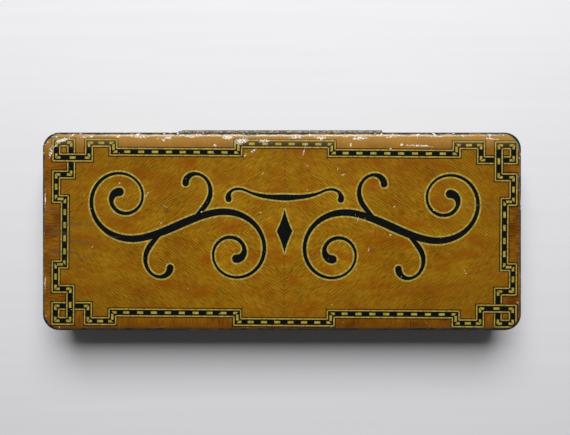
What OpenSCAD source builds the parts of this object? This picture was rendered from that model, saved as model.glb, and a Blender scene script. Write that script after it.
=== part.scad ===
// Tinplate pencil box: a shallow pressed lid hinged on a pressed base, with
// soldered dividers and pencil rests inside. Millimetres, +Z up, hinge at +Y,
// origin in the middle of the underside of the base.

/* [Lid] */
// Outside length of the lid
lid_len = 203; // [160:1:260]
// Outside width of the lid, front to hinge side
lid_wid = 84; // [66:1:120]
// Outside height of the closed box
box_h = 22; // [19:0.5:34]
// Depth of the lid's skirt, from its top face to its lower edge
skirt_h = 9; // [6:0.5:11]
// Corner radius of the lid, seen from above
lid_corner_r = 7; // [5:0.5:14]
// Outside radius where the lid's top turns down into its skirt
shoulder_r = 2; // [1.2:0.1:3]
// Outside diameter of the safe edge rolled inward at the foot of the skirt
hem_d = 1; // [0.9:0.05:1.4]

/* [Base] */
// Thickness of the tinplate of the lid, the base and what is inside
sheet = 0.3; // [0.2:0.01:0.36]
// Clearance between the lid's rolled edge and the base's wall
lid_gap = 0.6; // [0.55:0.05:1.2]
// Clearance between the lid's underside and the base's rim
top_gap = 0.3; // [0.25:0.05:1]
// Outside diameter of the bead rolled inward round the base's rim
rim_d = 1.6; // [1.2:0.1:2]
// Outside radius where the base's wall turns in to its floor
foot_r = 2; // [1:0.1:3]

/* [Hinge] */
// Length of the hinge
hinge_len = 88; // [60:1:110]
// Number of knuckles, the first and last on the base's leaf
knuckles = 11; // [5:2:15]
// Gap between neighbouring knuckles
knuckle_gap = 0.3; // [0.2:0.05:0.6]
// Diameter of the hinge wire
pin_d = 1.4; // [1:0.05:1.8]
// Running clearance between the wire and the lid's knuckles, on the radius
pin_clear = 0.05; // [0.02:0.01:0.1]
// Length of wire that stands out of the left end of the hinge
pin_stub = 1.4; // [0.5:0.1:3]
// Thickness of the hinge leaves
leaf_t = 0.35; // [0.25:0.05:0.45]
// Height of the lid's leaf above the hinge axis
lid_leaf_h = 6; // [4:0.25:7]
// Height of the base's leaf below its knuckles
base_leaf_h = 5; // [3:0.25:6]
// Height of the skirt's lower edge above the hinge axis
hinge_drop = 0.4; // [0.3:0.05:0.8]
// Clearance round a knuckle in the other leaf
notch_gap = 0.25; // [0.2:0.05:0.5]

/* [Inside] */
// Height of the dividers above the floor of the base
divider_h = 15; // [8:0.5:15]
// Width of the row of small compartments along the hinge side
small_bay_w = 24; // [14:1:26]
// Length of the nib compartment at the left end of that row
nib_bay_len = 38; // [20:1:60]
// Length of the rubber compartment at the right end of that row
rubber_bay_len = 52; // [20:1:70]
// Width of a divider's soldered foot and end tabs
tab_w = 4; // [3:0.5:6]
// Depth of the safe edge folded over along the top of a divider
fold_h = 2.4; // [1.5:0.1:4]
// Inside radius of one groove of a pencil rest
groove_r = 3.9; // [3:0.1:4.5]
// Outside radius of one ridge of a pencil rest
ridge_r = 1; // [0.8:0.1:1.6]
// Width of a pencil rest along the pencils
rest_w = 12; // [6:1:20]
// Distance from each end of the pencil bay to the middle of its pencil rest
rest_inset = 46; // [15:1:60]

/* [Hidden] */
$fn = 64;

hem_r = hem_d / 2;
rim_r = rim_d / 2;
skirt_z = box_h - skirt_h;

// The base is the lid's outline drawn in by the rolled edge and its clearance
base_inset = hem_d + lid_gap;
base_len = lid_len - 2 * base_inset;
base_wid = lid_wid - 2 * base_inset;
base_corner_r = lid_corner_r - base_inset;
base_top = box_h - sheet - top_gap;

// How far a cutting shape runs past what it cuts
overcut = 1;

// Inner faces of the base's walls, and the flat of its floor
in_x = base_len / 2 - sheet;
in_y = base_wid / 2 - sheet;
floor_round = foot_r - sheet;

// The hinge barrel hangs on the lid's back face
pin_r = pin_d / 2;
bore_r = pin_r + pin_clear;
barrel_r = bore_r + leaf_t;
hinge_y = lid_wid / 2 + barrel_r;
hinge_z = skirt_z - hinge_drop;
notch = barrel_r + notch_gap;
pitch = hinge_len / knuckles;

// Dividers: the back face of the long one, the web's x of the two short ones, and
// how far an end tab stays from the rounds and folds next to it
long_y = in_y - small_bay_w;
nib_x = -in_x + nib_bay_len;
rubber_x = in_x - rubber_bay_len;
fold_r = 1.5 * sheet;
tab_gap = 1;
tab_z = floor_round + tab_gap;

// Pencil rests: as many grooves as fit on the flat between the front wall's round
// and the foot of the long divider
bay_y0 = -in_y + floor_round;
bay_w = long_y - tab_w - bay_y0;
groove_pitch = 2 * (groove_r + ridge_r);
grooves = floor((bay_w - 2 * tab_w - 2 * ridge_r) / groove_pitch);
rest_y = bay_y0 + bay_w / 2;
rest_mid = sheet + groove_r + sheet;

// Sweeps a wall's section round a rectangle with round corners. The section's x
// runs outward from the centre of a corner, and its y is the height.
module sweep_round(len, wid, corner_r) {
    for (side = [0:3]) {
        run = (side % 2 == 0 ? len : wid) - 2 * corner_r;
        reach = (side % 2 == 0 ? wid : len) / 2 - corner_r;
        rotate(90 * side) {
            translate([-run / 2, reach, 0]) along_x(run) children();
            translate([run / 2, reach, 0]) rotate_extrude(angle = 90) children();
        }
    }
}

// Extrudes a section drawn in (y, z) along +X
module along_x(length) {
    rotate([90, 0, 90]) linear_extrude(length) children();
}

// Bent sheet: a ring of the sheet's thickness without the quarters named in open,
// counted anticlockwise from the upper right
module bend(r, open) {
    difference() {
        circle(r);
        circle(r - sheet);
        for (quarter = open) rotate(90 * quarter) square(r + overcut);
    }
}

module lid_section() {
    translate([0, box_h - sheet]) square([lid_corner_r - shoulder_r, sheet]);
    translate([lid_corner_r - shoulder_r, box_h - shoulder_r]) bend(shoulder_r, [1, 2, 3]);
    translate([lid_corner_r - sheet, skirt_z + hem_r])
        square([sheet, skirt_h - shoulder_r - hem_r]);
    translate([lid_corner_r - hem_r, skirt_z + hem_r]) bend(hem_r, [0]);
}

module lid_shell() {
    color("darkgoldenrod") union() {
        sweep_round(lid_len, lid_wid, lid_corner_r) lid_section();
        translate([lid_corner_r - lid_len / 2, lid_corner_r - lid_wid / 2, box_h - sheet])
            cube([lid_len - 2 * lid_corner_r, lid_wid - 2 * lid_corner_r, sheet]);
    }
}

module base_section() {
    square([base_corner_r - foot_r, sheet]);
    translate([base_corner_r - foot_r, foot_r]) bend(foot_r, [0, 1, 2]);
    translate([base_corner_r - sheet, foot_r]) square([sheet, base_top - rim_r - foot_r]);
    translate([base_corner_r - rim_r, base_top - rim_r]) bend(rim_r, [3]);
}

module base_shell() {
    color("goldenrod") union() {
        sweep_round(base_len, base_wid, base_corner_r) base_section();
        translate([base_corner_r - base_len / 2, base_corner_r - base_wid / 2, 0])
            cube([base_len - 2 * base_corner_r, base_wid - 2 * base_corner_r, sheet]);
    }
}

// One set of knuckles, a section extruded over every second place from first on
module knuckle_row(first) {
    for (place = [first:2:knuckles - 1])
        translate([-hinge_len / 2 + place * pitch + knuckle_gap / 2, hinge_y, hinge_z])
            along_x(pitch - knuckle_gap) children();
}

module lid_hinge_leaf() {
    color("gray") union() {
        translate([-hinge_len / 2, lid_wid / 2, hinge_z + notch])
            cube([hinge_len, leaf_t, lid_leaf_h - notch]);
        knuckle_row(1) difference() {
            union() {
                circle(barrel_r);
                translate([-barrel_r, 0]) square([leaf_t, notch]);
            }
            circle(bore_r);
        }
    }
}

module base_hinge_leaf() {
    back = base_wid / 2;
    color("dimgray") union() {
        translate([-hinge_len / 2, back, hinge_z - barrel_r - base_leaf_h])
            cube([hinge_len, leaf_t, base_leaf_h + leaf_t]);
        translate([-hinge_len / 2, back, hinge_z - barrel_r])
            cube([hinge_len, hinge_y - notch - back, leaf_t]);
        knuckle_row(0) difference() {
            union() {
                circle(barrel_r);
                translate([-notch, -barrel_r]) square([notch, leaf_t]);
            }
            circle(pin_r);
        }
    }
}

module hinge_pin() {
    color("darkgray")
        translate([-hinge_len / 2 - pin_stub, hinge_y, hinge_z])
            rotate([0, 90, 0]) cylinder(r = pin_r, h = hinge_len + pin_stub);
}

// A divider from the origin along +X, standing on the floor, with its web's face
// at y = 0. Its foot, end tabs and folded edge all turn to +Y, and its lower
// corners are notched to clear the round at the foot of the base's wall.
module divider(length) {
    translate([0, 0, sheet]) {
        difference() {
            along_x(length) {
                square([sheet, divider_h - fold_r]);
                translate([fold_r, divider_h - fold_r]) bend(fold_r, [2, 3]);
                translate([2 * fold_r - sheet, divider_h - fold_h])
                    square([sheet, fold_h - fold_r]);
            }
            for (end = [-overcut, length - foot_r])
                translate([end, -overcut, -overcut])
                    cube([foot_r + overcut, sheet + 2 * overcut, foot_r + overcut]);
        }
        translate([foot_r, 0, 0]) cube([length - 2 * foot_r, tab_w, sheet]);
        for (end = [0, length - sheet])
            translate([end, 0, tab_z]) cube([sheet, tab_w, divider_h - fold_h - tab_gap - tab_z]);
    }
}

module long_divider() {
    color("palegoldenrod") translate([in_x, long_y, 0]) rotate(180) divider(2 * in_x);
}

module nib_divider() {
    color("lightgoldenrodyellow")
        translate([nib_x, in_y, 0]) rotate(-90) divider(small_bay_w);
}

module rubber_divider() {
    color("khaki") translate([rubber_x, long_y, 0]) rotate(90) divider(small_bay_w);
}

// Corrugated strip of sheet across the pencil bay, with a soldered foot at each end
module pencil_rest() {
    half = grooves * groove_pitch / 2;
    translate([-rest_w / 2, rest_y, 0]) along_x(rest_w) {
        for (ridge = [0:grooves])
            translate([ridge * groove_pitch - half, rest_mid]) bend(ridge_r, [2, 3]);
        for (groove = [1:grooves])
            translate([(groove - 0.5) * groove_pitch - half, rest_mid])
                bend(groove_r + sheet, [0, 1]);
        for (side = [0, 1]) mirror([side, 0]) {
            translate([half + ridge_r - sheet, sheet]) square([sheet, rest_mid - sheet]);
            translate([half + ridge_r - sheet, sheet]) square([tab_w, sheet]);
        }
    }
}

module pencil_rest_left() {
    color("wheat") translate([rest_inset - in_x, 0, 0]) pencil_rest();
}

module pencil_rest_right() {
    color("burlywood") translate([in_x - rest_inset, 0, 0]) pencil_rest();
}

lid_shell();
lid_hinge_leaf();
hinge_pin();
base_hinge_leaf();
base_shell();
long_divider();
nib_divider();
rubber_divider();
pencil_rest_left();
pencil_rest_right();
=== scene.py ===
# A lithographed tinplate pencil box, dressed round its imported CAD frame.
# Sizes stay in millimetres until a mesh is made. The lid's print is a thin skin, and the
# inlay lines and the scroll are films of ink that lie on it.
import math
import bmesh
import bpy
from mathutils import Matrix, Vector


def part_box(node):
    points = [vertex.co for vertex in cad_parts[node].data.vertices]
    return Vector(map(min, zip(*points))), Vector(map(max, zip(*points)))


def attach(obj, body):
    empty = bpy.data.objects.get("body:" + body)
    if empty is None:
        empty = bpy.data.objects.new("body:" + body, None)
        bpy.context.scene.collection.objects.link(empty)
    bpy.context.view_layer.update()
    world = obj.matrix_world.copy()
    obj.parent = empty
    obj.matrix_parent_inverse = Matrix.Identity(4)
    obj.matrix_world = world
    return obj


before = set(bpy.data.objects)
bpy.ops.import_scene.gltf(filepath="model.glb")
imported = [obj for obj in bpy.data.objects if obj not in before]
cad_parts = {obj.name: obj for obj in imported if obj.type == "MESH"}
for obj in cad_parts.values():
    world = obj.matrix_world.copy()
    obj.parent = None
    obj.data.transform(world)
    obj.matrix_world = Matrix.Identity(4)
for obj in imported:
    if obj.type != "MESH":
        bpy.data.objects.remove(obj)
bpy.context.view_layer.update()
print("frame loaded:", ", ".join(sorted(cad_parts)))

mm = 0.001
collection = bpy.context.scene.collection
lidLow, lidHigh = [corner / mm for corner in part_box("lid_shell")]
baseLow, baseHigh = [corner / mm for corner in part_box("base_shell")]

# Radii of the lid and of the base; printFrom is the turn round the foot, from straight up,
# where the base's print ends
lid = {"corner": 7.0, "shoulder": 2.0, "hem": 0.5}
base = {"foot": 2.0, "rim": 0.8, "printFrom": 162.0}

# The corners of the lid and of the base turn about the same four centres
cornerX, cornerY = lidHigh.x - lid["corner"], lidHigh.y - lid["corner"]
flatRound = lid["corner"] - lid["shoulder"]
baseCorner = baseHigh.x - cornerX

# The camera hangs over the lid and looks straight down; viewWidth is what it sees at the lid
camera = {"x": 1.3, "y": 5.9, "distance": 230.0, "viewWidth": 240.5}
cameraData = bpy.data.cameras.new("camera")
cameraData.lens = cameraData.sensor_width * camera["distance"] / camera["viewWidth"]
cameraData.clip_start = 0.01
cameraObject = bpy.data.objects.new("camera", cameraData)
cameraObject.location = Vector((camera["x"], camera["y"], lidHigh.z + camera["distance"])) * mm
collection.objects.link(cameraObject)
bpy.context.scene.camera = cameraObject


def linear(hexColour):
    # sRGB hex to linear RGBA
    parts = [int(hexColour[i:i + 2], 16) / 255 for i in (1, 3, 5)]
    return [c / 12.92 if c <= 0.04045 else ((c + 0.055) / 1.055) ** 2.4 for c in parts] + [1.0]


def joinUp(tree, node, links):
    # each input comes from a socket, or from the first output of a node
    for key, source in links.items():
        tree.links.new(getattr(source, "outputs", [source])[0], node.inputs[key])


def addNode(tree, kind, settings=None, links=None):
    # adds one node; a name that the node has is set on it, and any other key is an input
    node = tree.nodes.new("ShaderNode" + kind)
    for key, value in (settings or {}).items():
        if isinstance(key, str) and hasattr(node, key):
            setattr(node, key, value)
        else:
            node.inputs[key].default_value = value
    joinUp(tree, node, links or {})
    return node


# One wide window behind and above the box, in an even pale room that is dim overhead: its
# light fades between two heights on a sky of radius 1
window = {"elevation": 50.0, "distance": 850.0, "width": 700.0, "height": 550.0, "power": 9.6}
room = {"colour": "#F0EEEE", "strength": 0.09, "overhead": 0.02, "fadeFrom": 0.84, "fadeTo": 0.97}

windowData = bpy.data.lights.new("window", "AREA")
windowData.shape = "RECTANGLE"
windowData.size = window["width"] * mm
windowData.size_y = window["height"] * mm
windowData.energy = window["power"]
windowObject = bpy.data.objects.new("window", windowData)
slope = math.radians(window["elevation"])
windowObject.location = Vector((0.0, math.cos(slope), math.sin(slope))) * window["distance"] * mm
windowObject.rotation_euler = (slope - math.pi / 2, 0.0, 0.0)
collection.objects.link(windowObject)

world = bpy.data.worlds.new("room")
world.use_nodes = True
skyTree = world.node_tree
skyPlace = addNode(skyTree, "TexCoord")
skyHeight = addNode(skyTree, "SeparateXYZ", None, {0: skyPlace})
skyDim = addNode(skyTree, "MapRange", {
    "interpolation_type": "SMOOTHSTEP", "From Min": room["fadeFrom"], "From Max": room["fadeTo"],
    "To Min": room["strength"], "To Max": room["overhead"]}, {"Value": skyHeight.outputs["Z"]})
skyTree.nodes["Background"].inputs["Color"].default_value = linear(room["colour"])
joinUp(skyTree, skyTree.nodes["Background"], {"Strength": skyDim})
bpy.context.scene.world = world
bpy.context.scene.view_settings.view_transform = "Standard"
print("camera and light set")


def inMillimetres(tree):
    # the place on the object, in millimetres
    place = addNode(tree, "TexCoord")
    return addNode(tree, "VectorMath", {"operation": "SCALE", "Scale": 1 / mm},
                   {0: place.outputs["Object"]})


def newMaterial(name, settings):
    # a Principled material, and the place on it in millimetres; what is the same all over
    # sits on the shader's own sockets
    material = bpy.data.materials.new(name)
    material.use_nodes = True
    tree = material.node_tree
    tree.nodes.clear()
    shader = addNode(tree, "BsdfPrincipled", settings)
    addNode(tree, "OutputMaterial", None, {"Surface": shader})
    return material, tree, shader, inMillimetres(tree)


def mixColours(tree, factor, first, second):
    # the second colour over the first; a colour is a hex value or comes from a node
    settings, links = {"data_type": "RGBA"}, {0: factor}
    for key, value in ((6, first), (7, second)):
        if isinstance(value, str):
            settings[key] = linear(value)
        else:
            links[key] = value
    return addNode(tree, "Mix", settings, links).outputs[2]


# The print was laid on a little off the middle and a little out of square
register = {"x": 1.1, "y": -0.67, "turn": math.radians(-0.36)}


def onPrint(x, y):
    # a place of the print's own drawing, as it lies on the lid
    c, s = math.cos(register["turn"]), math.sin(register["turn"])
    return register["x"] + x * c - y * s, register["y"] + x * s + y * c


# Dark smears and scuffs: x, y, half length, half width, turn in degrees, strength
scuffs = [
    (-90.0, 3.0, 14.0, 0.9, 2.0, 0.65), (-94.0, -0.6, 9.0, 1.3, -1.0, 0.7),
    (-86.0, -4.5, 10.0, 1.0, -2.0, 0.6), (-93.0, -8.5, 8.0, 1.5, 1.0, 0.6),
    (-84.0, -11.2, 6.0, 0.8, 3.0, 0.5), (-96.5, 8.5, 5.0, 1.0, 0.0, 0.6),
    (-95.0, -13.5, 5.0, 0.9, 0.0, 0.55), (-72.0, -2.2, 6.0, 0.5, -3.0, 0.4),
    (80.5, 11.0, 13.0, 0.5, 1.0, 0.75), (88.5, 8.6, 7.5, 0.4, -1.5, 0.6),
    (38.0, 17.5, 2.6, 0.3, 40.0, 0.7), (-26.0, 4.5, 3.2, 0.35, 24.0, 0.5),
    (-19.5, -16.0, 2.4, 0.25, 62.0, 0.7), (61.0, -22.5, 1.6, 0.7, -38.0, 0.7),
    (63.5, -28.0, 1.2, 0.6, 20.0, 0.7), (13.0, -11.5, 0.9, 0.6, 0.0, 0.9),
    (-4.0, 10.0, 1.2, 0.5, 15.0, 0.6), (47.0, 24.5, 1.5, 0.35, -70.0, 0.6)]
# Scratches and chips through to the white undercoat, given in the same way. Most are along
# the hinge side.
scratches = [
    (9.6, 35.0, 6.5, 0.3, 76.0, 0.6), (10.8, 27.5, 2.5, 0.22, 100.0, 0.45),
    (-56.9, 15.6, 2.4, 0.22, 60.0, 0.7), (-49.5, 10.8, 2.2, 0.2, -30.0, 0.7),
    (-51.0, 3.5, 1.2, 0.3, 70.0, 0.6), (32.0, 4.5, 2.6, 0.22, 82.0, 0.55),
    (45.8, -1.4, 0.9, 0.35, 0.0, 0.8), (47.9, 10.8, 1.6, 0.22, 35.0, 0.6),
    (77.3, -17.0, 2.2, 0.3, -66.0, 0.6), (-9.0, 8.0, 0.6, 0.35, 0.0, 0.8),
    (-17.0, 38.2, 5.0, 2.0, 10.0, 0.66), (-7.5, 38.2, 4.5, 1.3, -8.0, 0.62),
    (-23.0, 39.7, 3.6, 1.1, 0.0, 0.8), (-12.0, 34.0, 2.4, 1.2, 40.0, 0.5),
    (-28.5, 36.4, 1.6, 0.9, -30.0, 0.62), (-48.0, 39.6, 3.2, 1.0, 5.0, 0.66),
    (-15.5, 32.2, 1.0, 0.5, 70.0, 0.7), (-59.0, 39.9, 6.0, 0.9, 2.0, 0.6),
    (-50.0, 38.6, 2.2, 0.6, -30.0, 0.6), (-38.0, 40.0, 5.0, 0.7, -3.0, 0.6),
    (-92.5, 38.6, 4.8, 1.3, 14.0, 0.66), (-97.6, 33.5, 1.0, 4.0, -8.0, 0.62),
    (-95.4, 36.2, 3.4, 0.3, 42.0, 0.62), (-83.0, 39.8, 4.5, 0.7, 0.0, 0.6),
    (6.0, 39.8, 5.0, 1.0, 6.0, 0.6), (16.5, 39.4, 3.5, 1.2, 0.0, 0.66),
    (33.0, 39.4, 5.5, 1.2, 1.5, 0.68), (29.0, 36.6, 0.6, 1.3, 0.0, 0.7),
    (58.0, 36.2, 9.0, 0.7, -2.0, 0.62), (50.5, 36.6, 0.8, 0.7, 0.0, 0.95),
    (46.0, 34.8, 2.0, 0.6, -40.0, 0.55), (46.0, 39.8, 4.0, 0.5, 1.5, 0.62),
    (66.0, 40.0, 5.0, 0.6, 0.0, 0.6), (88.0, 39.2, 5.0, 0.6, -8.0, 0.62),
    (-99.9, 14.0, 0.5, 6.0, 0.0, 0.62), (-99.9, -22.0, 0.5, 5.0, 0.0, 0.6),
    (100.9, 12.0, 0.5, 5.0, 0.0, 0.6), (-8.0, 24.5, 0.9, 0.3, 50.0, 0.7),
    (21.0, -31.0, 0.8, 0.3, 0.0, 0.7), (26.0, 24.0, 1.4, 0.25, 20.0, 0.7),
    (23.5, 26.5, 0.9, 0.25, 80.0, 0.7), (36.5, -8.0, 1.8, 0.3, 75.0, 0.65),
    (-34.0, 8.2, 0.7, 0.3, 30.0, 0.8), (-68.5, 20.5, 0.5, 0.25, 0.0, 0.9),
    (-80.0, -6.5, 0.6, 0.25, 50.0, 0.9), (64.0, 9.0, 0.6, 0.25, 20.0, 0.9)]


def softMarks(tree, here, marks):
    # the strongest of many soft-edged ovals on the lid's top
    strongest = None
    for x, y, halfLength, halfWidth, turn, strength in marks:
        local = addNode(tree, "VectorMath", {"operation": "SUBTRACT", 1: (x, y, lidHigh.z)}, {0: here})
        turned = addNode(tree, "VectorRotate", {
            "rotation_type": "Z_AXIS", "Angle": -math.radians(turn)}, {"Vector": local})
        shrunk = addNode(tree, "VectorMath", {
            "operation": "DIVIDE", 1: (halfLength, halfWidth, 2.0)}, {0: turned})
        away = addNode(tree, "VectorMath", {"operation": "LENGTH"}, {0: shrunk})
        mark = addNode(tree, "MapRange", {
            "From Min": 1.0, "From Max": 0.3, "To Max": strength}, {"Value": away.outputs[1]})
        strongest = mark if strongest is None else addNode(
            tree, "Math", {"operation": "MAXIMUM"}, {0: strongest, 1: mark})
    return strongest


# Wear of the lid, with its painted sheen and painted shade: their colours, then where each
# kind starts and is full. Rubbed, and tarnished with painted shade, are millimetres out from
# the corner centres with noise added on, and the other levels are of noise alone. Each perMm
# is how many bumps of noise a millimetre has.
wearAndPaintedLight = {"tin": "#8A8474", "tarnishAndShade": "#383728", "undercoat": "#EFEADC", "grime": "#4C4530",
        "paintedSheen": "#CDA860", "paintedSheenStrength": 0.3, "relief": 0.02, "wornGloss": 0.6,
        "rubbed": (7.9, 8.6), "tarnishedAndShaded": (6.8, 7.6), "chipped": (0.755, 0.775),
        "torn": (0.71, 0.74), "pitted": (0.255, 0.225), "flecked": (0.77, 0.79),
        "patchesPerMm": 0.25, "flecksPerMm": 0.62, "crumbsPerMm": 1.5, "pinsPerMm": 1.1,
        "ripplesPerMm": 0.5}


def makeWearAndPaintedLight():
    # one node group for all that is printed on the lid: how far each place is rubbed to
    # tin, tarnished dark with painted shade, chipped to the white undercoat, smeared, and
    # paled with a painted sheen, from 0 to 1
    tree = bpy.data.node_groups.new("lid wear", "ShaderNodeTree")
    for name in ("Rubbed", "TarnishAndShade", "Chip", "Scuff", "PaintedSheen", "Relief"):
        tree.interface.new_socket(name, in_out="OUTPUT", socket_type="NodeSocketFloat")
    here = inMillimetres(tree)
    split = addNode(tree, "SeparateXYZ", None, {0: here})
    size = addNode(tree, "VectorMath", {"operation": "ABSOLUTE"}, {0: here})
    past = addNode(tree, "VectorMath", {
        "operation": "SUBTRACT", 1: (cornerX, cornerY, 1000.0)}, {0: size})
    outward = addNode(tree, "VectorMath", {"operation": "MAXIMUM"}, {0: past})
    reach = addNode(tree, "VectorMath", {"operation": "LENGTH"}, {0: outward}).outputs[1]
    high = addNode(tree, "MapRange", {
        "From Min": lidHigh.z - 3.4, "From Max": lidHigh.z - 1.7}, {"Value": split.outputs[2]})
    back = addNode(tree, "MapRange", {
        "interpolation_type": "SMOOTHSTEP", "From Min": 24.0, "From Max": 38.0},
        {"Value": split.outputs[1]})
    # the corners wear soonest
    ways = addNode(tree, "SeparateXYZ", None, {0: outward})
    both = addNode(tree, "Math", {"operation": "MINIMUM"}, {0: ways.outputs[0], 1: ways.outputs[1]})
    corner = addNode(tree, "MapRange", {"From Max": 3.0, "To Max": 0.7}, {"Value": both})
    bared = addNode(tree, "Math", {"operation": "ADD"}, {0: reach, 1: corner})
    # bare tin in patches along the shoulder, wider at the back
    patches = addNode(tree, "TexNoise", {
        "Scale": wearAndPaintedLight["patchesPerMm"], "Detail": 5.0, "Roughness": 0.65}, {"Vector": here})
    edge = addNode(tree, "Math", {"operation": "MULTIPLY_ADD", 1: 4.5}, {0: patches, 2: bared})
    edgeBack = addNode(tree, "Math", {"operation": "MULTIPLY_ADD", 1: 0.35}, {0: back, 2: edge})
    bare = addNode(tree, "MapRange", {
        "interpolation_type": "SMOOTHSTEP", "From Min": wearAndPaintedLight["rubbed"][0],
        "From Max": wearAndPaintedLight["rubbed"][1]}, {"Value": edgeBack})
    rubbedTop = addNode(tree, "Math", {"operation": "MULTIPLY"}, {0: bare, 1: high})
    hemLow = addNode(tree, "MapRange", {
        "From Min": lidLow.z + 1.3, "From Max": lidLow.z + 0.3}, {"Value": split.outputs[2]})
    hemPatches = addNode(tree, "MapRange", {"From Min": 0.44, "From Max": 0.56}, {"Value": patches})
    rubbedHem = addNode(tree, "Math", {"operation": "MULTIPLY"}, {0: hemLow, 1: hemPatches})
    rubbed = addNode(tree, "Math", {"operation": "MAXIMUM"}, {0: rubbedTop, 1: rubbedHem})
    # tarnish, and painted shade: a dark band along the steep outer part of the shoulder
    dark = addNode(tree, "Math", {"operation": "MULTIPLY_ADD", 1: 2.2}, {0: patches, 2: bared})
    tarnishAndShade = addNode(tree, "MapRange", {
        "interpolation_type": "SMOOTHSTEP", "From Min": wearAndPaintedLight["tarnishedAndShaded"][0],
        "From Max": wearAndPaintedLight["tarnishedAndShaded"][1]}, {"Value": dark})
    tarnishAndShadeHigh = addNode(tree, "Math", {"operation": "MULTIPLY"}, {0: tarnishAndShade, 1: high})
    # white chips: a few anywhere, many along the back shoulder
    flecks = addNode(tree, "TexNoise", {
        "Scale": wearAndPaintedLight["flecksPerMm"], "Detail": 3.0, "Roughness": 0.62, "Distortion": 0.5},
        {"Vector": here})
    nearEdge = addNode(tree, "MapRange", {
        "interpolation_type": "SMOOTHSTEP", "From Min": 3.4, "From Max": 5.6, "To Max": 0.068},
        {"Value": reach})
    twice = addNode(tree, "Math", {"operation": "MULTIPLY_ADD"}, {0: nearEdge, 1: back, 2: nearEdge})
    chance = addNode(tree, "Math", {"operation": "ADD"}, {0: flecks, 1: twice})
    chip = addNode(tree, "MapRange", {
        "interpolation_type": "SMOOTHSTEP", "From Min": wearAndPaintedLight["chipped"][0],
        "From Max": wearAndPaintedLight["chipped"][1]}, {"Value": chance})
    chipHigh = addNode(tree, "Math", {"operation": "MULTIPLY"}, {0: chip, 1: high})
    # smears are broken up along their length
    streaks = addNode(tree, "Mapping", {"Scale": (0.22, 2.4, 1.0)}, {"Vector": here})
    broken = addNode(tree, "TexNoise", {"Scale": 1.0, "Detail": 4.0}, {"Vector": streaks})
    gaps = addNode(tree, "MapRange", {"From Min": 0.36, "From Max": 0.6}, {"Value": broken})
    smears = addNode(tree, "Math", {"operation": "MULTIPLY"}, {
        0: softMarks(tree, here, scuffs), 1: gaps})
    # pinhead pits, dark, and pinhead flecks, white, over the whole lid
    pins = addNode(tree, "TexNoise", {"Scale": wearAndPaintedLight["pinsPerMm"], "Detail": 2.0}, {"Vector": here})
    pits = addNode(tree, "MapRange", {
        "From Min": wearAndPaintedLight["pitted"][0], "From Max": wearAndPaintedLight["pitted"][1], "To Max": 0.7},
        {"Value": pins})
    scuff = addNode(tree, "Math", {"operation": "MAXIMUM"}, {0: smears, 1: pits})
    # a chip's edge is hard and ragged, and a faint scratch breaks up into crumbs
    crumbs = addNode(tree, "TexNoise", {
        "Scale": wearAndPaintedLight["crumbsPerMm"], "Detail": 3.0, "Roughness": 0.7}, {"Vector": here})
    torn = addNode(tree, "Math", {"operation": "MULTIPLY_ADD", 1: 0.4}, {
        0: softMarks(tree, here, scratches), 2: crumbs})
    cut = addNode(tree, "MapRange", {
        "interpolation_type": "SMOOTHSTEP", "From Min": wearAndPaintedLight["torn"][0],
        "From Max": wearAndPaintedLight["torn"][1]}, {"Value": torn})
    dots = addNode(tree, "MapRange", {
        "From Min": wearAndPaintedLight["flecked"][0], "From Max": wearAndPaintedLight["flecked"][1], "To Max": 0.7},
        {"Value": pins})
    light = addNode(tree, "Math", {"operation": "MAXIMUM"}, {0: cut, 1: dots})
    chipAll = addNode(tree, "Math", {"operation": "MAXIMUM"}, {0: chipHigh, 1: light})
    # painted sheen towards the back edge: a paler colour that stands in for the window's reflection on
    # the varnish
    towardsBack = addNode(tree, "MapRange", {
        "interpolation_type": "SMOOTHSTEP", "From Min": 34.0, "From Max": 41.0},
        {"Value": split.outputs[1]})
    paintedSheen = addNode(tree, "Math", {"operation": "MULTIPLY"}, {0: towardsBack, 1: high})
    # varnish ripple with the chips sunk into it
    ripple = addNode(tree, "TexNoise", {
        "Scale": wearAndPaintedLight["ripplesPerMm"], "Detail": 4.0, "Roughness": 0.6}, {"Vector": here})
    relief = addNode(tree, "Math", {"operation": "MULTIPLY_ADD", 1: -1.2}, {0: chipAll, 2: ripple})
    joinUp(tree, tree.nodes.new("NodeGroupOutput"), {
        "Rubbed": rubbed, "TarnishAndShade": tarnishAndShadeHigh, "Chip": chipAll, "Scuff": scuff, "PaintedSheen": paintedSheen,
        "Relief": relief})
    return tree


lidWearAndPaintedLight = makeWearAndPaintedLight()


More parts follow.
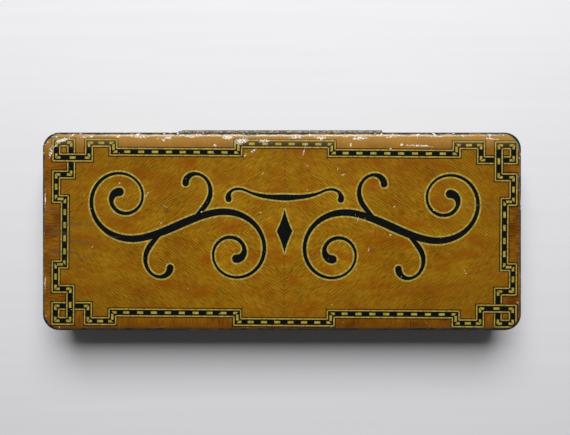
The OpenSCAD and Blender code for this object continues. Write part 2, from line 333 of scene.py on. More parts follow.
def wearAndPaintedLightThrough(tree, shader, colour, gloss):
    # shows the lid's wear, painted sheen and painted shade through a printed colour and sets the gloss
    # of each layer
    wearAndLight = addNode(tree, "Group", {"node_tree": lidWearAndPaintedLight})
    # painted sheen: the paler colour that stands in for the window's reflection near the back edge
    sheenAmount = addNode(tree, "Math", {
        "operation": "MULTIPLY", 1: wearAndPaintedLight["paintedSheenStrength"]}, {0: wearAndLight.outputs["PaintedSheen"]})
    colour = mixColours(tree, sheenAmount, colour, wearAndPaintedLight["paintedSheen"])
    colour = mixColours(tree, wearAndLight.outputs["Scuff"], colour, wearAndPaintedLight["grime"])
    colour = mixColours(tree, wearAndLight.outputs["Rubbed"], colour, wearAndPaintedLight["tin"])
    # tarnish, with painted shade along the shoulder's steep outer edge
    colour = mixColours(tree, wearAndLight.outputs["TarnishAndShade"], colour, wearAndPaintedLight["tarnishAndShade"])
    colour = mixColours(tree, wearAndLight.outputs["Chip"], colour, wearAndPaintedLight["undercoat"])
    intact = addNode(tree, "Math", {"operation": "SUBTRACT", 0: 1.0}, {1: wearAndLight.outputs["Chip"]})
    metal = addNode(tree, "Math", {"operation": "MULTIPLY"}, {0: wearAndLight.outputs["Rubbed"], 1: intact})
    scraped = addNode(tree, "Math", {"operation": "MAXIMUM"}, {
        0: wearAndLight.outputs["Scuff"], 1: wearAndLight.outputs["Chip"]})
    dulled = addNode(tree, "Math", {"operation": "MAXIMUM"}, {0: scraped, 1: wearAndLight.outputs["Rubbed"]})
    shine = addNode(tree, "MapRange", {"To Min": gloss, "To Max": wearAndPaintedLight["wornGloss"]}, {"Value": dulled})
    bump = addNode(tree, "Bump", {"Distance": wearAndPaintedLight["relief"] * mm}, {"Height": wearAndLight.outputs["Relief"]})
    joinUp(tree, shader, {"Base Color": colour, "Metallic": metal, "Roughness": shine, "Normal": bump})


# Tinplate printed by offset lithography to look like book-matched satinwood, under clear
# varnish: four mirrored quarters of fine slanting hatch, golden with orange-brown clouds.
# The hatch is parallel lines 0.95 mm apart over shorter, softer strokes of about that width.
satinwood = {"deep": "#6E4206", "light": "#B08416", "warm": "#8E4A06", "joint": "#7A4A0C",
             "grain": 37.0, "lineGap": 0.95, "lineStrength": 0.17, "hatchGap": 0.8,
             "hatchLength": 6.0, "cloudLength": 20.0, "cloudWidth": 12.0, "sway": 1.4,
             "waver": 2.0, "warmed": 0.85, "browned": 0.4, "jointHalf": 0.45, "gloss": 0.14}


def makeSatinwood():
    material, tree, shader, here = newMaterial("lithographedSatinwood", {"IOR": 1.5})
    moved = addNode(tree, "VectorMath", {
        "operation": "SUBTRACT", 1: (register["x"], register["y"], 0.0)}, {0: here})
    squared = addNode(tree, "VectorRotate", {
        "rotation_type": "Z_AXIS", "Angle": -register["turn"]}, {"Vector": moved})
    # one quarter's pattern is mirrored into all four
    quarter = addNode(tree, "VectorMath", {"operation": "ABSOLUTE"}, {0: squared})
    sway = addNode(tree, "TexNoise", {"Scale": 0.07, "Detail": 2.0}, {"Vector": squared})
    swayed = addNode(tree, "VectorMath", {
        "operation": "MULTIPLY_ADD", 1: (satinwood["sway"], satinwood["sway"], 0.0)}, {
        0: sway.outputs["Color"], 2: quarter})
    along = addNode(tree, "VectorRotate", {
        "rotation_type": "Z_AXIS", "Angle": math.radians(satinwood["grain"])}, {"Vector": swayed})
    hatchPlace = addNode(tree, "Mapping", {
        "Scale": (2 / satinwood["hatchLength"], 2 / satinwood["hatchGap"], 1.0)}, {"Vector": along})
    hatch = addNode(tree, "TexNoise", {"Scale": 1.0, "Detail": 1.0, "Roughness": 0.5},
                    {"Vector": hatchPlace})
    cloudPlace = addNode(tree, "Mapping", {
        "Scale": (1 / satinwood["cloudLength"], 1 / satinwood["cloudWidth"], 1.0)}, {"Vector": along})
    cloud = addNode(tree, "TexNoise", {"Scale": 1.0, "Detail": 3.0, "Roughness": 0.55},
                    {"Vector": cloudPlace})
    both = addNode(tree, "Math", {"operation": "MULTIPLY_ADD", 1: 0.6}, {0: cloud, 2: hatch})
    tone = addNode(tree, "MapRange", {"From Min": 0.52, "From Max": 1.1}, {"Value": both})
    # the engraver's parallel lines, which waver a little
    across = addNode(tree, "SeparateXYZ", None, {0: along})
    waver = addNode(tree, "TexNoise", {"Scale": 0.09, "Detail": 1.0}, {"Vector": squared})
    wavered = addNode(tree, "Math", {
        "operation": "MULTIPLY_ADD", 1: satinwood["waver"]}, {0: waver, 2: across.outputs[1]})
    phase = addNode(tree, "Math", {
        "operation": "MULTIPLY", 1: 2 * math.pi / satinwood["lineGap"]}, {0: wavered})
    line = addNode(tree, "Math", {"operation": "SINE"}, {0: phase})
    lined = addNode(tree, "Math", {
        "operation": "MULTIPLY_ADD", 1: satinwood["lineStrength"], "use_clamp": True}, {
        0: line, 2: tone})
    low = mixColours(tree, lined, satinwood["deep"], satinwood["light"])
    warmPlace = addNode(tree, "Mapping", {"Scale": (0.07, 0.15, 1.0)}, {"Vector": squared})
    warmth = addNode(tree, "TexNoise", {"Scale": 1.0, "Detail": 4.0, "Roughness": 0.6},
                     {"Vector": warmPlace})
    warmed = addNode(tree, "MapRange", {
        "From Min": 0.48, "From Max": 0.68, "To Max": satinwood["warmed"]}, {"Value": warmth})
    colour = mixColours(tree, warmed, low, satinwood["warm"])
    # the varnish has browned towards the ends and the corners
    shrunk = addNode(tree, "VectorMath", {
        "operation": "DIVIDE", 1: (lidHigh.x, lidHigh.y, 1000.0)}, {0: here})
    fromMiddle = addNode(tree, "VectorMath", {"operation": "LENGTH"}, {0: shrunk})
    browned = addNode(tree, "MapRange", {
        "From Min": 0.4, "From Max": 1.1, "To Max": satinwood["browned"]}, {
        "Value": fromMiddle.outputs[1]})
    colour = mixColours(tree, browned, colour, satinwood["deep"])
    # a thin darker joint where the left and right halves of the veneer meet
    fromJoint = addNode(tree, "SeparateXYZ", None, {0: quarter})
    joint = addNode(tree, "MapRange", {
        "From Min": satinwood["jointHalf"], "From Max": 0.15, "To Max": 0.55}, {
        "Value": fromJoint.outputs[0]})
    colour = mixColours(tree, joint, colour, satinwood["joint"])
    wearAndPaintedLightThrough(tree, shader, colour, satinwood["gloss"])
    return material


# The same print round the edge, as cross-banding: fine grain square to the nearest edge
crossBanding = {"deep": "#5C3004", "light": "#94600F", "paintedBandSheen": "#B4823A",
                "grainGap": 0.8, "grainLength": 9.0, "paintedBandSheenFrom": 31.0, "paintedBandSheenTo": 38.0,
                "thumbedFrom": -34.0, "thumbedTo": -40.0, "gloss": 0.15}


def makeCrossBanding():
    material, tree, shader, here = newMaterial("lithographedCrossBanding", {"IOR": 1.5})
    split = addNode(tree, "SeparateXYZ", None, {0: here})
    size = addNode(tree, "VectorMath", {"operation": "ABSOLUTE"}, {0: here})
    sizes = addNode(tree, "SeparateXYZ", None, {0: size})
    # the grain carries on down the skirt, so the way out to the edge counts the height too
    ways = []
    for side, grain in ((0, 1), (1, 0)):
        out = addNode(tree, "Math", {"operation": "SUBTRACT"}, {
            0: sizes.outputs[side], 1: split.outputs[2]})
        ways.append(addNode(tree, "CombineXYZ", None, {0: split.outputs[grain], 1: out}))
    endGap = addNode(tree, "Math", {"operation": "SUBTRACT", 1: lidHigh.x - lidHigh.y}, {
        0: sizes.outputs[0]})
    atEnd = addNode(tree, "Math", {"operation": "GREATER_THAN"}, {0: endGap, 1: sizes.outputs[1]})
    way = addNode(tree, "Mix", {"data_type": "VECTOR"}, {0: atEnd, 4: ways[1], 5: ways[0]})
    place = addNode(tree, "Mapping", {"Scale": (
        2 / crossBanding["grainGap"], 2 / crossBanding["grainLength"], 1.0)}, {"Vector": way.outputs[1]})
    grain = addNode(tree, "TexNoise", {"Scale": 1.0, "Detail": 2.0, "Roughness": 0.6},
                    {"Vector": place})
    cloud = addNode(tree, "TexNoise", {"Scale": 0.12, "Detail": 3.0}, {"Vector": here})
    both = addNode(tree, "Math", {"operation": "ADD"}, {0: grain, 1: cloud})
    tone = addNode(tree, "MapRange", {"From Min": 0.78, "From Max": 1.22}, {"Value": both})
    colour = mixColours(tree, tone, crossBanding["deep"], crossBanding["light"])
    # sunned pale along the hinge side, and dark where the front edge is thumbed
    # painted sheen along the hinge side: paler there, standing in for the window's reflection in the
    # varnish
    hingeSide = addNode(tree, "MapRange", {
        "From Min": crossBanding["paintedBandSheenFrom"], "From Max": crossBanding["paintedBandSheenTo"],
        "To Max": 0.5}, {"Value": split.outputs[1]})
    topSide = addNode(tree, "MapRange", {
        "From Min": lidHigh.z - 3.0, "From Max": lidHigh.z - 1.0}, {"Value": split.outputs[2]})
    paintedBandSheen = addNode(tree, "Math", {"operation": "MULTIPLY"}, {0: hingeSide, 1: topSide})
    colour = mixColours(tree, paintedBandSheen, colour, crossBanding["paintedBandSheen"])
    # and dark where the front edge is thumbed
    thumbed = addNode(tree, "MapRange", {
        "From Min": crossBanding["thumbedFrom"], "From Max": crossBanding["thumbedTo"],
        "To Max": 0.45}, {"Value": split.outputs[1]})
    colour = mixColours(tree, thumbed, colour, crossBanding["deep"])
    wearAndPaintedLightThrough(tree, shader, colour, crossBanding["gloss"])
    return material


# Black litho ink under varnish: solid, faintly blue, a little starved in places
blackInk = {"solid": "#080C12", "starved": "#15140F", "gloss": 0.15}


def makeBlackInk():
    material, tree, shader, here = newMaterial("blackLithoInk", {"IOR": 1.5})
    mottle = addNode(tree, "TexNoise", {"Scale": 0.7, "Detail": 4.0}, {"Vector": here})
    colour = mixColours(tree, mottle, blackInk["solid"], blackInk["starved"])
    wearAndPaintedLightThrough(tree, shader, colour, blackInk["gloss"])
    return material


# Straw-yellow litho ink: the satinwood tint shows through it unevenly
strawInk = {"full": "#BCA850", "thin": "#927C30", "gloss": 0.16}


def makeStrawInk():
    material, tree, shader, here = newMaterial("strawYellowLithoInk", {"IOR": 1.5})
    mottle = addNode(tree, "TexNoise", {"Scale": 0.9, "Detail": 3.0}, {"Vector": here})
    tone = addNode(tree, "MapRange", {"From Min": 0.35, "From Max": 0.65}, {"Value": mottle})
    colour = mixColours(tree, tone, strawInk["thin"], strawInk["full"])
    wearAndPaintedLightThrough(tree, shader, colour, strawInk["gloss"])
    return material


# Tinplate printed as dark walnut under varnish, for the outside of the base: grain runs
# along the sides, rubbed to bright tin at the foot and scraped by the lid near the rim
walnut = {"deep": "#2E1A08", "light": "#5A3712", "grainGap": 1.1, "grainLength": 24.0,
          "tin": "#9A958A", "gloss": 0.3, "footRubbed": (0.4, 2.6), "rimScraped": (20.2, 21.2)}


def makeWalnut():
    material, tree, shader, here = newMaterial("lithographedWalnut", {"IOR": 1.5})
    split = addNode(tree, "SeparateXYZ", None, {0: here})
    onward = addNode(tree, "Math", {"operation": "ADD"}, {0: split.outputs[0], 1: split.outputs[1]})
    way = addNode(tree, "CombineXYZ", None, {0: onward, 1: split.outputs[2]})
    place = addNode(tree, "Mapping", {"Scale": (
        1 / walnut["grainLength"], 1 / walnut["grainGap"], 1.0)}, {"Vector": way})
    grain = addNode(tree, "TexNoise", {
        "Scale": 1.0, "Detail": 4.0, "Roughness": 0.6, "Distortion": 0.6}, {"Vector": place})
    tone = addNode(tree, "MapRange", {"From Min": 0.35, "From Max": 0.68}, {"Value": grain})
    colour = mixColours(tree, tone, walnut["deep"], walnut["light"])
    patches = addNode(tree, "TexNoise", {"Scale": 0.3, "Detail": 5.0, "Roughness": 0.7},
                      {"Vector": here})
    foot = addNode(tree, "MapRange", {
        "From Min": walnut["footRubbed"][1], "From Max": walnut["footRubbed"][0], "To Max": 0.34},
        {"Value": split.outputs[2]})
    rim = addNode(tree, "MapRange", {
        "From Min": walnut["rimScraped"][0], "From Max": walnut["rimScraped"][1], "To Max": 0.36},
        {"Value": split.outputs[2]})
    edges = addNode(tree, "Math", {"operation": "MAXIMUM"}, {0: foot, 1: rim})
    worse = addNode(tree, "Math", {"operation": "ADD"}, {0: patches, 1: edges})
    bare = addNode(tree, "MapRange", {
        "interpolation_type": "SMOOTHSTEP", "From Min": 0.7, "From Max": 0.78}, {"Value": worse})
    colour = mixColours(tree, bare, colour, walnut["tin"])
    shine = addNode(tree, "MapRange", {"To Min": walnut["gloss"], "To Max": 0.42}, {"Value": patches})
    bump = addNode(tree, "Bump", {"Distance": 0.02 * mm, "invert": True}, {"Height": bare})
    joinUp(tree, shader, {"Base Color": colour, "Metallic": bare, "Roughness": shine, "Normal": bump})
    return material


# Tinplate with a clear gold lacquer, rolled at the mill: a soft satin metal with faint
# roll lines, brown age spots and grey smudges of graphite low down where pencils lie.
# It is less metallic than bare tin because the aged lacquer film has gone cloudy.
goldLacquer = {"gold": "#97763A", "pale": "#AD925C", "spot": "#54381A", "graphite": "#5C584E",
               "rollGap": 0.7, "rollLength": 30.0, "smudgeHigh": 6.0}


def makeGoldLacquer():
    material, tree, shader, here = newMaterial("goldLacqueredTinplate", {"Metallic": 0.7})
    split = addNode(tree, "SeparateXYZ", None, {0: here})
    rollPlace = addNode(tree, "Mapping", {"Scale": (
        1 / goldLacquer["rollLength"], 1 / goldLacquer["rollGap"], 1 / goldLacquer["rollGap"])},
        {"Vector": here})
    roll = addNode(tree, "TexNoise", {"Scale": 1.0, "Detail": 3.0}, {"Vector": rollPlace})
    cloud = addNode(tree, "TexNoise", {"Scale": 0.06, "Detail": 4.0, "Roughness": 0.6},
                    {"Vector": here})
    colour = mixColours(tree, cloud, goldLacquer["gold"], goldLacquer["pale"])
    speck = addNode(tree, "TexNoise", {"Scale": 0.45, "Detail": 6.0, "Roughness": 0.7},
                    {"Vector": here})
    spots = addNode(tree, "MapRange", {
        "interpolation_type": "SMOOTHSTEP", "From Min": 0.6, "From Max": 0.72, "To Max": 0.8},
        {"Value": speck})
    colour = mixColours(tree, spots, colour, goldLacquer["spot"])
    low = addNode(tree, "MapRange", {
        "From Min": goldLacquer["smudgeHigh"], "From Max": 0.3, "To Max": 0.55},
        {"Value": split.outputs[2]})
    smudge = addNode(tree, "Math", {"operation": "MULTIPLY"}, {0: low, 1: cloud})
    colour = mixColours(tree, smudge, colour, goldLacquer["graphite"])
    shine = addNode(tree, "MapRange", {"To Min": 0.36, "To Max": 0.62}, {"Value": roll})
    dull = addNode(tree, "Math", {"operation": "MULTIPLY_ADD", 1: 0.3}, {0: spots, 2: shine})
    bump = addNode(tree, "Bump", {"Distance": 0.006 * mm}, {"Height": roll})
    joinUp(tree, shader, {"Base Color": colour, "Roughness": dull, "Normal": bump})
    return material


# Tinned steel strip, rolled and soldered on: dull grey under a thin film of brown rust,
# which is rougher and hides the metal where it is thick
tinnedSteel = {"bright": "#858074", "dull": "#5B5850", "rust": "#64482A"}


def makeTinnedSteel():
    material, tree, shader, here = newMaterial("tinnedSteelStrip", {})
    cloud = addNode(tree, "TexNoise", {"Scale": 0.35, "Detail": 5.0, "Roughness": 0.6},
                    {"Vector": here})
    tone = addNode(tree, "MapRange", {"From Min": 0.35, "From Max": 0.65}, {"Value": cloud})
    colour = mixColours(tree, tone, tinnedSteel["dull"], tinnedSteel["bright"])
    speck = addNode(tree, "TexNoise", {"Scale": 0.9, "Detail": 5.0, "Roughness": 0.7}, {"Vector": here})
    rust = addNode(tree, "MapRange", {
        "interpolation_type": "SMOOTHSTEP", "From Min": 0.44, "From Max": 0.62}, {"Value": speck})
    colour = mixColours(tree, rust, colour, tinnedSteel["rust"])
    metal = addNode(tree, "MapRange", {"To Min": 1.0, "To Max": 0.2}, {"Value": rust})
    shine = addNode(tree, "MapRange", {"To Min": 0.48, "To Max": 0.8}, {"Value": rust})
    bump = addNode(tree, "Bump", {"Distance": 0.02 * mm}, {"Height": speck})
    joinUp(tree, shader, {"Base Color": colour, "Metallic": metal, "Roughness": shine, "Normal": bump})
    return material


# Drawn steel wire, darkened by age: fine draw lines run along it
drawnWire = {"dark": "#3B3833", "light": "#77736A"}


def makeDrawnWire():
    material, tree, shader, here = newMaterial("drawnSteelWire", {"Metallic": 1.0})
    place = addNode(tree, "Mapping", {"Scale": (0.2, 6.0, 6.0)}, {"Vector": here})
    draw = addNode(tree, "TexNoise", {"Scale": 1.0, "Detail": 3.0}, {"Vector": place})
    colour = mixColours(tree, draw, drawnWire["dark"], drawnWire["light"])
    shine = addNode(tree, "MapRange", {"To Min": 0.25, "To Max": 0.5}, {"Value": draw})
    bump = addNode(tree, "Bump", {"Distance": 0.01 * mm}, {"Height": draw})
    joinUp(tree, shader, {"Base Color": colour, "Roughness": shine, "Normal": bump})
    return material


# Matt white board: plain, with the faintest unevenness
board = {"light": "#E8E8EA", "dark": "#E2E2E5"}


def makeBoard():
    material, tree, shader, here = newMaterial("mattWhiteBoard", {"Roughness": 0.9, "IOR": 1.4})
    place = addNode(tree, "Mapping", {"Scale": (0.01, 0.2, 1.0)}, {"Vector": here})
    streak = addNode(tree, "TexNoise", {"Scale": 1.0, "Detail": 3.0}, {"Vector": place})
    joinUp(tree, shader, {"Base Color": mixColours(tree, streak, board["dark"], board["light"])})
    return material


print("materials made")


def addPiece(name, body, slot, vertices, faces, materials, pick=None):
    # one closed mesh from vertices in millimetres, smooth except at real edges
    mesh = bpy.data.meshes.new(name)
    mesh.from_pydata([Vector(v) * mm for v in vertices], [], faces)
    shape = bmesh.new()
    shape.from_mesh(mesh)
    bmesh.ops.remove_doubles(shape, verts=shape.verts, dist=0.0005 * mm)
    bmesh.ops.recalc_face_normals(shape, faces=shape.faces)
    for face in shape.faces:
        face.smooth = True
        if pick:
            face.material_index = pick(face.calc_center_median() / mm)
    shape.to_mesh(mesh)
    shape.free()
    mesh.set_sharp_from_angle(angle=math.radians(35))
    for material in materials:
        mesh.materials.append(material)
    piece = bpy.data.objects.new(name, mesh)
    collection.objects.link(piece)
    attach(piece, body)
    return piece


def spread(stops, step):
    # the stops, with even places between them no further apart than step
    places = []
    for start, end in zip(stops, stops[1:]):
        count = max(1, math.ceil((end - start) / step))
        places += [start + (end - start) * i / count for i in range(count)]
    return places + [stops[-1]]


def bothSides(half):
    # the places mirrored to the other side, with those given
    return [-value for value in reversed(half) if value > 0] + half


def quadStrips(rows, first=0, closed=False):
    # faces between rows of equally many vertices, numbered on from first
    width = len(rows[0])
    turns = width if closed else width - 1
    return [(first + r * width + i, first + r * width + (i + 1) % width,
             first + (r + 1) * width + (i + 1) % width, first + (r + 1) * width + i)
            for r in range(len(rows) - 1) for i in range(turns)]


# The inlay's middle line in one quarter of the lid, from the middle of the long side
# to the middle of the short side
inlayQuarter = [(19.7, 37.6), (19.7, 33.9), (72.4, 33.9), (72.4, 37.6), (82.7, 37.6), (82.7, 31.3),
                (96.45, 31.3), (96.45, 37.6), (90.2, 37.6), (90.2, 24.1), (96.45, 24.1),
                (96.45, 13.8), (92.75, 13.8)]
# What the inlay encloses, in the same quarter: rectangles from the middle to (x, y)
fieldRectangles = [(19.7, 37.6), (82.7, 33.9), (90.2, 31.3), (92.75, 24.1)]
fieldNotches = [((72.4, 82.7), (0.0, 37.6)), ((0.0, 96.45), (13.8, 24.1))]


def inField(x, y):
    # whether a place on the lid's top lies inside the inlay
    a, b = abs(x), abs(y)
    boxes = [((0.0, right), (0.0, top)) for right, top in fieldRectangles] + fieldNotches
    return any(xs[0] <= a <= xs[1] and ys[0] <= b <= ys[1] for xs, ys in boxes)


# How high each film of ink stands off the lid: the print's skin, the underside of what lies
# lowest, the black ribbon, the straw lines, and by how much the upper of two crossing
# ribbons and each next stroke of the scroll are raised, so that no two films share a face
film = {"skin": 0.04, "under": 0.01, "ribbon": 0.07, "straw": 0.09, "over": 0.004, "stroke": 0.001}

gridStep = 6.0        # the widest square of the lid print's flat

satinwoodPrint, crossBandPrint = makeSatinwood(), makeCrossBanding()
blackPrint, strawPrint = makeBlackInk(), makeStrawInk()


def ringAt(loop, out, z):
    # the loop's places moved to a given distance out from the corner centres
    ring = []
    for x, y in loop:
        core = Vector((max(-cornerX, min(cornerX, x)), max(-cornerY, min(cornerY, y))))
        away = (Vector((x, y)) - core).normalized() * out
        ring.append((core.x + away.x, core.y + away.y, z))
    return ring


def arcProfile(out, z, radius, fromTurn, toTurn, count):
    # (way out, height) round an arc, where turn 0 is straight up and 90 straight out
    turns = [math.radians(fromTurn + (toTurn - fromTurn) * i / count) for i in range(count + 1)]
    return [(out + radius * math.sin(t), z + radius * math.cos(t)) for t in turns]


def addRings(vertices, faces, loop, profile):
    # a strip right round the loop for each step of the profile
    rings = [ringAt(loop, out, z) for out, z in profile]
    faces += quadStrips(rings, len(vertices), closed=True)
    vertices += [v for ring in rings for v in ring]


def edgeFaces(outer, inner, count):
    # faces between two closed loops of count vertices, numbered on from outer and inner
    return [(outer + i, outer + (i + 1) % count, inner + (i + 1) % count, inner + i)
            for i in range(count)]


def makeLidPrint():
    # the flat's columns and rows stop at every side of the inlay, where the print changes
    arc = [cornerX + flatRound * math.sin(math.radians(turn)) for turn in range(5, 95, 5)]
    stops = sorted({x for x, y in inlayQuarter if x < cornerX})
    columns = bothSides(spread([0.0] + stops + [cornerX], gridStep) + arc)
    stops = sorted({y for x, y in inlayQuarter} | {cornerY})
    rows = bothSides(spread([0.0] + stops + [cornerY + flatRound], gridStep))

    def onFlat(x, y):
        over = max(abs(x) - cornerX, 0.0)
        reach = math.sqrt(max(flatRound ** 2 - over ** 2, 0.0))
        if abs(y) > cornerY:
            y = math.copysign(cornerY + (abs(y) - cornerY) * reach / flatRound, y)
        return x, y

    between = [y for y in rows if abs(y) < cornerY]
    loop = [onFlat(x, rows[0]) for x in columns]
    loop += [(columns[-1], y) for y in between]
    loop += [onFlat(x, rows[-1]) for x in reversed(columns)]
    loop += [(columns[0], y) for y in reversed(between)]
    vertices, faces, lastRings = [], [], []
    for lift in (film["skin"], film["under"]):
        flat = [[(*onFlat(x, y), lidHigh.z + lift) for x in columns] for y in rows]
        faces += quadStrips(flat, len(vertices))
        vertices += [v for row in flat for v in row]
        # out from the corner centres: round the shoulder, down the skirt, round the hem
        profile = arcProfile(flatRound, lidHigh.z - lid["shoulder"], lid["shoulder"] + lift, 0, 90, 8)
        profile += arcProfile(lid["corner"] - lid["hem"], lidLow.z + lid["hem"],
                              lid["hem"] + lift, 90, 180, 4)
        addRings(vertices, faces, loop, profile)
        lastRings.append(len(vertices) - len(loop))
    faces += edgeFaces(*lastRings, len(loop))

    def pick(centre):
        return 0 if centre.z > lidHigh.z and inField(centre.x, centre.y) else 1
    return addPiece("lid_print", "lid", "printed_tinplate", vertices, faces,
                    [satinwoodPrint, crossBandPrint], pick)


makeLidPrint()
print("lid print made")


def onLid(x, y, lift):
    # a place on the lid's outside, lifted along its normal; what would hang past the
    # edge turns down the skirt
    core = Vector((max(-cornerX, min(cornerX, x)), max(-cornerY, min(cornerY, y))))
    away = Vector((x, y)) - core
    reach = away.length
    if reach <= flatRound:
        return x, y, lidHigh.z + lift
    away.normalize()
    sine = min((reach - flatRound) / lid["shoulder"], 1.0)
    cosine = math.sqrt(1 - sine * sine)
    out = flatRound + (lid["shoulder"] + lift) * sine
    z = lidHigh.z - lid["shoulder"] + (lid["shoulder"] + lift) * cosine - max(reach - lid["corner"], 0.0)
    return core.x + away.x * out, core.y + away.y * out, z


def addFilm(vertices, faces, corners, lift, under, step):
    # a closed film over a four-sided patch of the print, draped on the lid
    corners = [Vector(corner) for corner in corners]
    longest = max((corners[1] - corners[0]).length, (corners[2] - corners[3]).length)
    along = max(1, math.ceil(longest / step))
    across = max(1, math.ceil((corners[3] - corners[0]).length / step))
    for height in (lift, under):
        rows = [[onLid(*onPrint(*corners[0].lerp(corners[1], i / along).lerp(
            corners[3].lerp(corners[2], i / along), j / across)), height)
            for i in range(along + 1)] for j in range(across + 1)]
        faces += quadStrips(rows, len(vertices))
        vertices += [v for row in rows for v in row]
    width, count = along + 1, (along + 1) * (across + 1)
    rim = [i for i in range(along)] + [j * width + along for j in range(across)]
    rim += [across * width + i for i in range(along, 0, -1)] + [j * width for j in range(across, 0, -1)]
    first = len(vertices) - 2 * count
    for here, there in zip(rim, rim[1:] + rim[:1]):
        faces.append((first + here, first + there, first + count + there, first + count + here))


# Along each side of the ribbon runs a straw line, and dashes run down its middle. A run
# shorter than oneDash has a single dash, and farOut is past any mitre.
inlay = {"halfWidth": 2.1, "lineAt": 1.42, "lineHalf": 0.26, "dashHalf": 0.5, "dashLength": 2.5,
         "dashPitch": 6.0, "oneDash": 4.8, "cornerDash": 1.7, "mitreGap": 0.1, "underGap": 0.4,
         "crossing": (90.2, 31.3), "farOut": 19.0, "fineStep": 0.55, "flatStep": 12.0,
         "fineCorner": 4.0, "fineShoulder": 2.0}


def makeInlay():
    corners = inlayQuarter + [(x, -y) for x, y in reversed(inlayQuarter)]
    corners += [(-x, -y) for x, y in inlayQuarter]
    corners += [(-x, y) for x, y in reversed(inlayQuarter)]
    corners = [Vector(corner) for corner in corners]
    black, straw = ([], []), ([], [])
    half = inlay["halfWidth"]
    for i, start in enumerate(corners):
        end = corners[(i + 1) % len(corners)]
        before, after = corners[i - 1], corners[(i + 2) % len(corners)]
        run = (end - start).normalized()
        side = Vector((-run.y, run.x))
        length = (end - start).length
        # how far each end of the run leans: +1 where the next run turns to its left
        lean = [(start - before).normalized().dot(side), (after - end).normalized().dot(side)]
        # small steps where the film bends over the lid's round corners and shoulder
        farX, farY = max(abs(start.x), abs(end.x)), max(abs(start.y), abs(end.y))
        nearCorner = farX > cornerX - inlay["fineCorner"] and farY > cornerY - inlay["fineCorner"]
        bends = nearCorner or farY > cornerY + inlay["fineShoulder"]
        step = inlay["fineStep"] if bends else inlay["flatStep"]

        def patch(low, high, fromEnd, toEnd, gap):
            # the run's patch between two offsets, cut to the mitres less a gap
            points = []
            for offset, place in ((low, 0), (low, 1), (high, 1), (high, 0)):
                mitre = [lean[0] * -offset + gap, length + lean[1] * -offset - gap]
                reach = [max(fromEnd, mitre[0]), min(toEnd, mitre[1])]
                points.append(start + run * reach[place] + side * offset)
            return points

        middle = (start + end) / 2
        quadrant = (math.copysign(1, middle.x), math.copysign(1, middle.y))
        along = abs(run.x) > 0.5
        crossAt = Vector((quadrant[0] * inlay["crossing"][0], quadrant[1] * inlay["crossing"][1]))
        place = (crossAt - start).dot(run)
        crosses = abs((crossAt - start).dot(side)) < half and half < place < length - half
        horizontalOver = quadrant[0] * quadrant[1] < 0        # upper left and lower right
        over = crosses and along == horizontalOver
        raised = film["over"] if over else 0.0
        first, last = -inlay["farOut"], length + inlay["farOut"]
        addFilm(*black, patch(-half, half, first, last, 0.0), film["ribbon"] + raised,
                film["under"], step)
        pieces = [(first, last)]
        if crosses and not over:
            pieces = [(first, place - half), (place + half, last)]
        for low, high in pieces:
            for lineAt in (-inlay["lineAt"], inlay["lineAt"]):
                inner, outer = lineAt - inlay["lineHalf"], lineAt + inlay["lineHalf"]
                addFilm(*straw, patch(inner, outer, low, high, inlay["mitreGap"]),
                        film["straw"] + raised, film["skin"], step)
        if length < inlay["oneDash"]:
            dashes = [(length / 2 - inlay["dashLength"] / 2, length / 2 + inlay["dashLength"] / 2)]
        else:
            count = max(1, round(length / inlay["dashPitch"]))
            centres = [length * n / count for n in range(count + 1)]
            dashes = [(c - inlay["dashLength"] / 2, c + inlay["dashLength"] / 2) for c in centres[1:-1]]
            dashes += [(-half, inlay["cornerDash"]), (length - inlay["cornerDash"], length + half)]
        for low, high in dashes:
            passesUnder = abs((low + high) / 2 - place) < half + inlay["underGap"] or low < place < high
            if crosses and not over and passesUnder:
                continue
            addFilm(*straw, patch(-inlay["dashHalf"], inlay["dashHalf"], low, high,
                                  inlay["mitreGap"] * 2),
                    film["straw"] + raised, film["skin"], step)
    addPiece("inlay_ribbon", "lid", "line_ink", *black, [blackPrint])
    addPiece("inlay_lines", "lid", "yellow_ink", *straw, [strawPrint])


makeInlay()
print("inlay made")


# The scroll on the lid: a pen's path is its start, its heading in degrees and its half
# width, then stretches of (length, curl at start, curl at end, half width at end), where a
# curl is one over the radius. Each path is mirrored, and some are also turned end for end.
scroll = {
    "outline": 0.7, "step": 0.6,
    "sweep": ((45.0, 3.0), -24.0, 1.65, [(17.0, 0.0, 0.03, 1.45), (27.0, 0.046, 0.072, 0.8),
              (32.0, 0.072, 0.105, 0.5), (22.0, 0.11, 0.17, 0.8), (8.0, 0.19, 0.34, 1.8)]),
    "tendril": ((38.5, 6.0), 136.0, 0.6, [(8.0, 0.0, -0.05, 1.1), (14.0, -0.09, -0.15, 0.6),
                (9.0, -0.18, -0.28, 1.4)]),
    "swash": ((0.0, 15.0), 0.0, 1.3, [(8.0, 0.01, 0.02, 0.9), (8.0, 0.03, 0.05, 0.5),
              (7.0, -0.05, -0.25, 0.6), (4.0, -0.28, -0.34, 1.3)]),
    "lozenge": {"bottom": -9.0, "top": 10.5, "halfWidth": 3.3, "hollow": 1.4, "steps": 24}}


def penPath(start, heading, halfWidth, stretches):
    # the pen's places along its path, as (x, y, half width)
    place, angle, width = Vector(start), math.radians(heading), halfWidth
    path = [(*place, width)]
    for length, curlStart, curlEnd, widthEnd in stretches:
        count = math.ceil(length / scroll["step"])
        for i in range(count):
            curl = curlStart + (curlEnd - curlStart) * (i + 0.5) / count
            angle += curl * length / count / 2
            place += Vector((math.cos(angle), math.sin(angle))) * length / count
            angle += curl * length / count / 2
            part = (i + 1) / count
            path.append((*place, width + (widthEnd - width) * part * part * (3 - 2 * part)))
        width = widthEnd
    return path


capTurns = range(20, 180, 20)        # degrees between the points of a stroke's round end


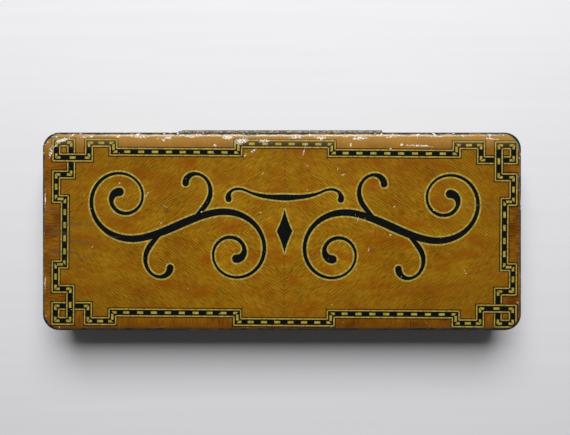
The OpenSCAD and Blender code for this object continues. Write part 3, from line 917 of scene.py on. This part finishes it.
def roundEnd(centre, edge):
    # half a circle about the centre, from one edge of a stroke on to the other
    arm, points = edge - centre, []
    for turn in capTurns:
        c, s = math.cos(math.radians(turn)), math.sin(math.radians(turn))
        points.append(centre + Vector((arm.x * c - arm.y * s, arm.x * s + arm.y * c)))
    return points


def addStroke(vertices, faces, path, grow, lift, under):
    # a closed film along a pen's path, with a round end at each end
    places = [Vector((x, y)) for x, y, halfWidth in path]
    left, right = [], []
    for i, (x, y, halfWidth) in enumerate(path):
        run = (places[min(i + 1, len(path) - 1)] - places[max(i - 1, 0)]).normalized()
        side = Vector((-run.y, run.x)) * (halfWidth + grow)
        left.append(places[i] + side)
        right.append(places[i] - side)
    outline = right + roundEnd(places[-1], right[-1]) + left[::-1] + roundEnd(places[0], left[0])
    count, length, cap = len(outline), len(path), len(capTurns)
    leftAt = [2 * length + cap - 1 - i for i in range(length)]
    first = len(vertices)
    for height in (lift, under):
        start = len(vertices)
        vertices += [onLid(*onPrint(*place), height) for place in outline]
        faces += [(start + i, start + i + 1, start + leftAt[i + 1], start + leftAt[i])
                  for i in range(length - 1)]
        faces.append(tuple(start + i for i in range(length - 1, length + cap + 1)))
        faces.append(tuple(start + i % count for i in range(2 * length + cap - 1, count + 1)))
    faces += edgeFaces(first, first + count, count)


def makeScroll():
    middle = Vector(scroll["sweep"][0])
    paths = [penPath(*scroll["sweep"]), penPath(*scroll["tendril"])]
    paths += [[(2 * middle.x - x, 2 * middle.y - y, w) for x, y, w in path] for path in paths]
    paths.append(penPath(*scroll["swash"]))
    paths += [[(-x, y, w) for x, y, w in path] for path in paths]
    lozenge = scroll["lozenge"]
    steps = [i / lozenge["steps"] for i in range(1, lozenge["steps"])]
    paths.append([(0.0, lozenge["bottom"] + (lozenge["top"] - lozenge["bottom"]) * t,
                   lozenge["halfWidth"] * (1 - abs(2 * t - 1)) ** lozenge["hollow"]) for t in steps])
    black, straw = ([], []), ([], [])
    for i, path in enumerate(paths):
        addStroke(*straw, path, scroll["outline"], film["ribbon"] + film["stroke"] * i, film["under"])
        addStroke(*black, path, 0.0, film["straw"] + film["stroke"] * i, film["skin"])
    addPiece("scroll_outline", "lid", "yellow_ink", *straw, [strawPrint])
    addPiece("scroll", "lid", "line_ink", *black, [blackPrint])


makeScroll()
print("scroll made")


def makeBasePrint():
    # the base's printed outside: round its foot, up its wall and over its rolled rim
    turns = [math.radians(6 * i) for i in range(16)]
    loop = []
    for i, (across, up) in enumerate(((1, 1), (-1, 1), (-1, -1), (1, -1))):
        for turn in turns:
            angle = turn + i * math.pi / 2
            loop.append((across * cornerX + math.cos(angle), up * cornerY + math.sin(angle)))
    vertices, faces, ends = [], [], []
    for lift in (film["skin"], film["under"]):
        profile = arcProfile(baseCorner - base["foot"], base["foot"], base["foot"] + lift,
                             base["printFrom"], 90, 8)
        profile += arcProfile(baseCorner - base["rim"], baseHigh.z - base["rim"],
                              base["rim"] + lift, 90, 0, 5)
        start = len(vertices)
        addRings(vertices, faces, loop, profile)
        ends.append((start, len(vertices) - len(loop)))
    for outer, inner in zip(*ends):
        faces += edgeFaces(outer, inner, len(loop))
    return addPiece("base_print", "base", "base_tinplate", vertices, faces, [makeWalnut()])


makeBasePrint()
print("base print made")


# The CAD pieces keep their meshes and get their finishes here
goldTin, strip, wire = makeGoldLacquer(), makeTinnedSteel(), makeDrawnWire()
finishes = {"lid_shell": goldTin, "base_shell": goldTin, "long_divider": goldTin,
            "nib_divider": goldTin, "rubber_divider": goldTin, "pencil_rest_left": goldTin,
            "pencil_rest_right": goldTin, "lid_hinge_leaf": strip, "base_hinge_leaf": strip,
            "hinge_pin": wire}
for name, finish in finishes.items():
    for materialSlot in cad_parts[name].material_slots:
        materialSlot.material = finish
print("CAD pieces finished")


# The board under the box, a hair below it so that their faces don't meet
floor = {"half": 2500.0, "drop": 0.05}
floorMesh = bpy.data.meshes.new("floor")
half, drop = floor["half"] * mm, -floor["drop"] * mm
floorCorners = [(-half, -half, drop), (half, -half, drop), (half, half, drop), (-half, half, drop)]
floorMesh.from_pydata(floorCorners, [], [(0, 1, 2, 3)])
floorMesh.materials.append(makeBoard())
floorObject = bpy.data.objects.new("floor", floorMesh)
collection.objects.link(floorObject)
